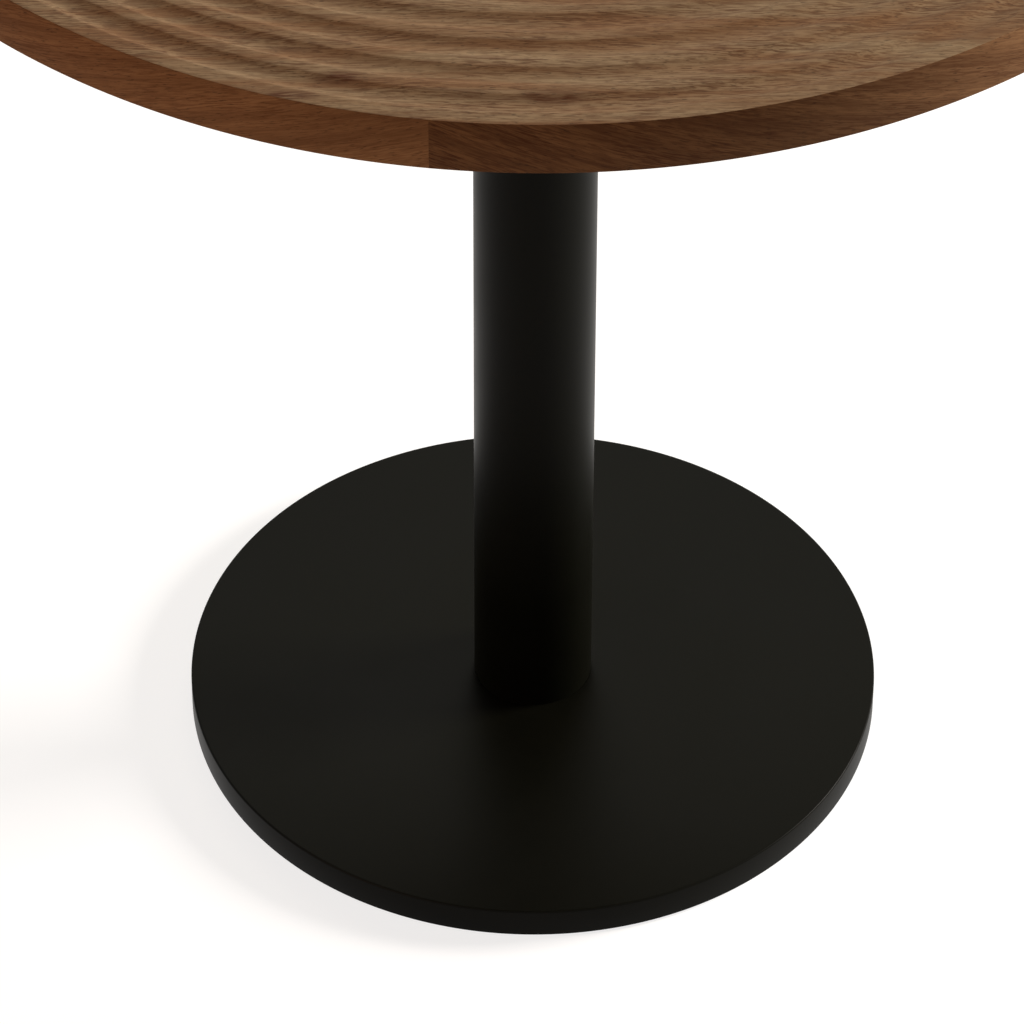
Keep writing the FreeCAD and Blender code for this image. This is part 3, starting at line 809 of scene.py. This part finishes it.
class TABLE_OT_tie_rod(TableOperator):
    """Builds the tie rod with its washers and nut."""

    bl_idname = "table.tie_rod"
    bl_label = "Tie rod"

    def execute(self, context):
        hardware = self.table.hardware
        fit = 0.1 * MM
        bore = outer_radius("tie_rod") + fit
        zinc = zinc_plate(hardware)
        for mesh, node in (
            (self.rod(hardware), "tie_rod"),
            (self.washer(bore), "tie_rod_washer"),
            (self.split_washer(bore), "tie_rod_spring_washer"),
            (self.nut(hardware, bore), "tie_rod_nut"),
        ):
            add_piece(mesh, zinc, FIXED_BODY, "zinc_plated_steel", node)
        return {"FINISHED"}

    @staticmethod
    def rod(hardware):
        """A plain rod with a screw cut on each end, from its lower tip to its upper one.

        Its shank is as thick as the screw's middle, half a thread's depth below the crests.
        """
        taper, taper_depth = 1 * MM, 1.2 * MM
        low, high = levels("tie_rod")
        radius = outer_radius("tie_rod")
        pitch = hardware.rod_pitch
        directions = angles(segments=40)
        ones = np.ones_like(directions)
        lower = thread_rows(low + taper, low + hardware.rod_thread, pitch)
        upper = thread_rows(high - hardware.rod_thread, high - taper, pitch)
        screws = [thread_radii(part, directions, radius, pitch) for part in (lower, upper)]
        tip = (radius - taper_depth) * ones
        shank = (radius - THREAD_DEPTH / 2 * pitch) * ones
        step = pitch / THREAD_ROWS
        rows = [0 * ones, tip, *screws[0], shank, shank, *screws[1], tip, 0 * ones]
        heights = [low, low, *lower, lower[-1] + step, upper[0] - step, *upper, high, high]
        return grid_mesh("screwed_tie_rod", [spun(rows, heights, directions)], close_rows=False)

    @staticmethod
    def washer(bore):
        """A punched ring with slightly rounded edges."""
        punched_edge = 0.4 * MM
        low, high = levels("tie_rod_washer")
        outer = outer_radius("tie_rod_washer")
        ring = rounded(((bore, low), (outer, low), (outer, high), (bore, high)), punched_edge)
        return grid_mesh("rod_washer", [turned(ring, segments=72)])

    @staticmethod
    def split_washer(bore):
        """A square-section ring, open by a small angle."""
        rolled_edge, opening = 0.3 * MM, math.radians(20)
        low, high = levels("tie_rod_spring_washer")
        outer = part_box("tie_rod_spring_washer")[1].y
        ring = rounded(((bore, low), (outer, low), (outer, high), (bore, high)), rolled_edge, steps=2)
        run = np.linspace(0, TURN - opening, num=65)
        return grid_mesh("split_washer", [capped(swept(ring, run))], close_columns=False)

    @staticmethod
    def nut(hardware, bore):
        """A hexagon whose corners are cut by a cone at both ends: the lesser of hexagon and cone radius.

        The end face's radius is a share of the nut's width across its flats.
        """
        end_face, cone_slope, countersink = 0.47, math.radians(30), 0.6 * MM
        low, high = levels("tie_rod_nut")
        directions = angles(segments=96)
        hole = bore * np.ones_like(directions)
        mouth = hole + countersink
        # Shares of the height, closer together at both ends, where the cone cuts the corners
        shares = np.array([0, 0.04, 0.08, 0.12, 0.2, 0.8, 0.88, 0.92, 0.96, 1])
        heights = low + (high - low) * shares
        depth = np.minimum(heights - low, high - heights)
        cone = end_face * hardware.nut_width + depth / math.tan(cone_slope)
        body = np.minimum(hexagon(directions, hardware.nut_width)[None, :], cone[:, None])
        rows = [hole, mouth, *body, mouth, hole]
        ends = [low + countersink, low, *heights, high, high - countersink]
        return grid_mesh("hexagon_nut", [spun(rows, ends, directions)])


class TABLE_OT_glides(TableOperator):
    """Builds the four levelling glides: a nylon foot and a screwed stem each."""

    bl_idname = "table.glides"
    bl_label = "Glides"

    def execute(self, context):
        hardware = self.table.hardware
        nylon = moulded_nylon(hardware)
        zinc = zinc_plate(hardware)
        for side in GLIDE_SIDES:
            pad, stem = f"glide_pad_{side}", f"glide_stem_{side}"
            foot = grid_mesh(f"glide_foot_{side}", [self.foot(pad, hardware)])
            add_piece(foot, nylon, f"foot_{side}", "black_nylon", pad)
            screw = grid_mesh(f"glide_screw_{side}", [self.stem(stem, hardware)], close_rows=False)
            add_piece(screw, zinc, f"screw_{side}", "zinc_plated_steel", stem)
        return {"FINISHED"}

    @staticmethod
    def foot(node, hardware):
        """A shallow turned foot, hollow round the stem's head, with a key hole in its sole."""
        neck_gap, key_gap = 0.2 * MM, 0.7 * MM
        pocket, sole, lip = 7.7 * MM, 1.4 * MM, 1.2 * MM
        low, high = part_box(node)
        middle = (low + high) / 2
        edge = (high.x - low.x) / 2
        neck = hardware.bolt_diameter / 2 + neck_gap
        key = hardware.glide_key * CORNER_REACH + key_gap
        # Radius, height and rounding of each corner, from the key hole outwards, over the lip and back
        corners = np.array([
            (key, low.z, 0.3 * MM), (edge, low.z, 1 * MM),
            (edge, high.z, 0.6 * MM), (neck, high.z, 0.3 * MM),
            (neck, high.z - lip, 0.1 * MM), (pocket, high.z - lip, 0.2 * MM),
            (pocket, low.z + sole, 0.2 * MM), (key, low.z + sole, 0.1 * MM),
        ])
        outline = rounded(corners[:, :2], corners[:, 2])
        return turned(outline, segments=96, centre=(middle.x, middle.y))

    @staticmethod
    def stem(node, hardware):
        """A flat head with a hexagon socket and a bevelled edge, and a screwed shank above it."""
        head_height, bevel = 1.8 * MM, 0.3 * MM
        socket, drilled_point = 4.6 * MM, 0.4 * MM
        undercut, undercut_radius = 0.4 * MM, 3.4 * MM
        end_taper, end_radius = 0.6 * MM, 3 * MM
        low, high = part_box(node)
        middle = (low + high) / 2
        directions = angles(segments=48)
        ones = np.ones_like(directions)
        key = hexagon(directions, hardware.glide_key)
        head = (high.x - low.x) / 2
        shoulder = low.z + head_height
        screwed = thread_rows(shoulder + undercut, high.z - end_taper, hardware.bolt_pitch)
        screw = thread_radii(screwed, directions, hardware.bolt_diameter / 2, hardware.bolt_pitch)
        rows = [
            0 * ones, key, key, (head - bevel) * ones, head * ones, head * ones, undercut_radius * ones,
            *screw, end_radius * ones, 0 * ones,
        ]
        heights = [
            low.z + socket + drilled_point, low.z + socket, low.z, low.z, low.z + bevel, shoulder, shoulder,
            *screwed, high.z, high.z,
        ]
        return spun(rows, heights, directions, (middle.x, middle.y))


class TABLE_OT_stage(TableOperator):
    """Sets the floor, the lights, the surroundings and the camera."""

    bl_idname = "table.stage"
    bl_label = "Stage"

    def execute(self, context):
        stage = self.table.stage
        self.lay_floor(tuple(stage.floor))
        self.set_surroundings(stage.ambient)
        self.hang_light(
            "key_light", stage.key_watts, "#fff8f0", azimuth=12, elevation=12.5, distance=3.2, size=1.0,
        )
        self.hang_light(
            "back_light", stage.back_watts, "#fffae4", azimuth=90, elevation=48, distance=3.0, size=2.2,
        )
        self.hang_light(
            "fill_light", stage.fill_watts, "#ffc49a", azimuth=-140, elevation=20, distance=3.2, size=2.0,
        )
        self.place_camera(stage.lens)
        context.scene.view_settings.view_transform = "Standard"
        return {"FINISHED"}

    @staticmethod
    def seen_directly(tree):
        """1 for rays from the camera, off gloss or through glass, and 0 for light that falls on things."""
        path = add_node(tree, "ShaderNodeLightPath")
        glossy = {0: path.outputs["Is Camera Ray"], 1: path.outputs["Is Glossy Ray"]}
        either = add_node(tree, "ShaderNodeMath", glossy, operation="MAXIMUM")
        clear = {0: either.outputs[0], 1: path.outputs["Is Transmission Ray"]}
        return add_node(tree, "ShaderNodeMath", clear, operation="MAXIMUM").outputs[0]

    def lay_floor(self, tone):
        """A wide floor, near white to the eye, that keeps a soft shadow and is clear when seen from below.

        It lies a hair under the feet, so that no two faces share a plane, and reaches further to the left,
        so that the line between its two triangles passes clear of the table. To the eye it is a grey that
        takes the shadow, with an even glow added.
        """
        reach, drop = 12.0, 0.2 * MM
        shadow_grey = linear("#959595")
        left, right = -2 * reach, reach
        outline = (left, -reach), (right, -reach), (right, reach), (left, reach)
        mesh = bpy.data.meshes.new("studio_floor")
        mesh.from_pydata([(x, y, -drop) for x, y in outline], [], [(0, 1, 2, 3)])
        material = bpy.data.materials.new("pale_studio_floor")
        material.use_nodes = True
        tree = material.node_tree
        tree.nodes.clear()
        paper = add_node(tree, "ShaderNodeBsdfDiffuse", {"Color": (*tone, 1)})
        shaded = add_node(tree, "ShaderNodeBsdfDiffuse", {"Color": (*shadow_grey, 1)})
        glow = add_node(tree, "ShaderNodeEmission", {"Color": (*linear(WHITE), 1), "Strength": 0.78})
        lit = add_node(tree, "ShaderNodeAddShader", {0: shaded, 1: glow})
        either = {"Fac": self.seen_directly(tree), 1: paper, 2: lit}
        seen = add_node(tree, "ShaderNodeMixShader", either)
        below = add_node(tree, "ShaderNodeNewGeometry").outputs["Backfacing"]
        clear = add_node(tree, "ShaderNodeBsdfTransparent")
        open_below = add_node(tree, "ShaderNodeMixShader", {"Fac": below, 1: seen, 2: clear})
        add_node(tree, "ShaderNodeOutputMaterial", {"Surface": open_below})
        floor = bpy.data.objects.new("studio_floor", mesh)
        mesh.materials.append(material)
        bpy.context.scene.collection.objects.link(floor)

    def set_surroundings(self, ambient):
        """White surroundings to the eye, and a weaker even light on things."""
        world = bpy.data.worlds.new("white_studio")
        world.use_nodes = True
        tree = world.node_tree
        tree.nodes.clear()
        strength = {"Value": self.seen_directly(tree), "To Min": ambient, "To Max": 1.0}
        level = add_node(tree, "ShaderNodeMapRange", strength).outputs["Result"]
        sky = add_node(tree, "ShaderNodeBackground", {"Color": (*linear(WHITE), 1), "Strength": level})
        add_node(tree, "ShaderNodeOutputWorld", {"Surface": sky.outputs[0]})
        bpy.context.scene.world = world

    @staticmethod
    def hang_light(name, watts, tone, azimuth, elevation, distance, size):
        """A square soft light that faces the middle of the table's top. Its two angles are in degrees."""
        azimuth, elevation = math.radians(azimuth), math.radians(elevation)
        lamp = bpy.data.lights.new(name, "AREA")
        lamp.energy = watts
        lamp.size = size
        lamp.color = linear(tone)
        light = bpy.data.objects.new(name, lamp)
        middle = CAD_BOX[1][2]
        flat = distance * math.cos(elevation)
        light.location = (
            flat * math.cos(azimuth), flat * math.sin(azimuth), middle + distance * math.sin(elevation),
        )
        light.rotation_euler = (math.pi / 2 - elevation, 0, azimuth + math.pi / 2)
        bpy.context.scene.collection.objects.link(light)

    @staticmethod
    def place_camera(lens):
        """The photograph's view: a long lens, well above the top and looking down at it.

        The place, the dip below level and the roll were fitted to the outlines of the top, column and base.
        """
        sensor = 36
        place = (-12.7 * MM, -2746.0 * MM, 2705.2 * MM)
        dip, roll = math.radians(42.985), math.radians(0.148)
        camera = bpy.data.cameras.new("photo_view")
        camera.lens = lens
        camera.sensor_width = sensor
        view = bpy.data.objects.new("photo_view", camera)
        view.location = place
        tilted = Matrix.Rotation(math.pi / 2 - dip, 3, "X")
        rolled = Matrix.Rotation(roll, 3, "Z")
        view.rotation_euler = (tilted @ rolled).to_euler()
        bpy.context.scene.collection.objects.link(view)
        bpy.context.scene.camera = view


class TABLE_PT_build(bpy.types.Panel):
    """Lists the table's operators and settings."""

    bl_idname = "TABLE_PT_build"
    bl_label = "Pedestal table"
    bl_space_type = "VIEW_3D"
    bl_region_type = "UI"
    bl_category = "Table"

    def draw(self, context):
        settings = context.scene.pedestal_table
        for part in (settings.top, settings.foot, settings.hardware, settings.stage):
            box = self.layout.box()
            for name in part.__annotations__:
                box.prop(part, name)
        for operator in OPERATORS:
            self.layout.operator(operator.bl_idname)


OPERATORS = (
    TABLE_OT_turned_face, TABLE_OT_edge_band, TABLE_OT_top_layers, TABLE_OT_column, TABLE_OT_base,
    TABLE_OT_top_plate, TABLE_OT_tie_rod, TABLE_OT_glides, TABLE_OT_stage,
)
GROUPS = TopSettings, FootSettings, HardwareSettings, StageSettings, TableSettings


def register():
    for kind in (*GROUPS, *OPERATORS, TABLE_PT_build):
        bpy.utils.register_class(kind)
    bpy.types.Scene.pedestal_table = PointerProperty(type=TableSettings)


def unregister():
    del bpy.types.Scene.pedestal_table
    for kind in reversed((*GROUPS, *OPERATORS, TABLE_PT_build)):
        bpy.utils.unregister_class(kind)


def main():
    """Builds the table and its stage."""
    register()
    bpy.ops.table.turned_face()
    bpy.ops.table.edge_band()
    bpy.ops.table.top_layers()
    bpy.ops.table.column()
    bpy.ops.table.base()
    bpy.ops.table.top_plate()
    bpy.ops.table.tie_rod()
    bpy.ops.table.glides()
    bpy.ops.table.stage()


if __name__ == "__main__":
    main()
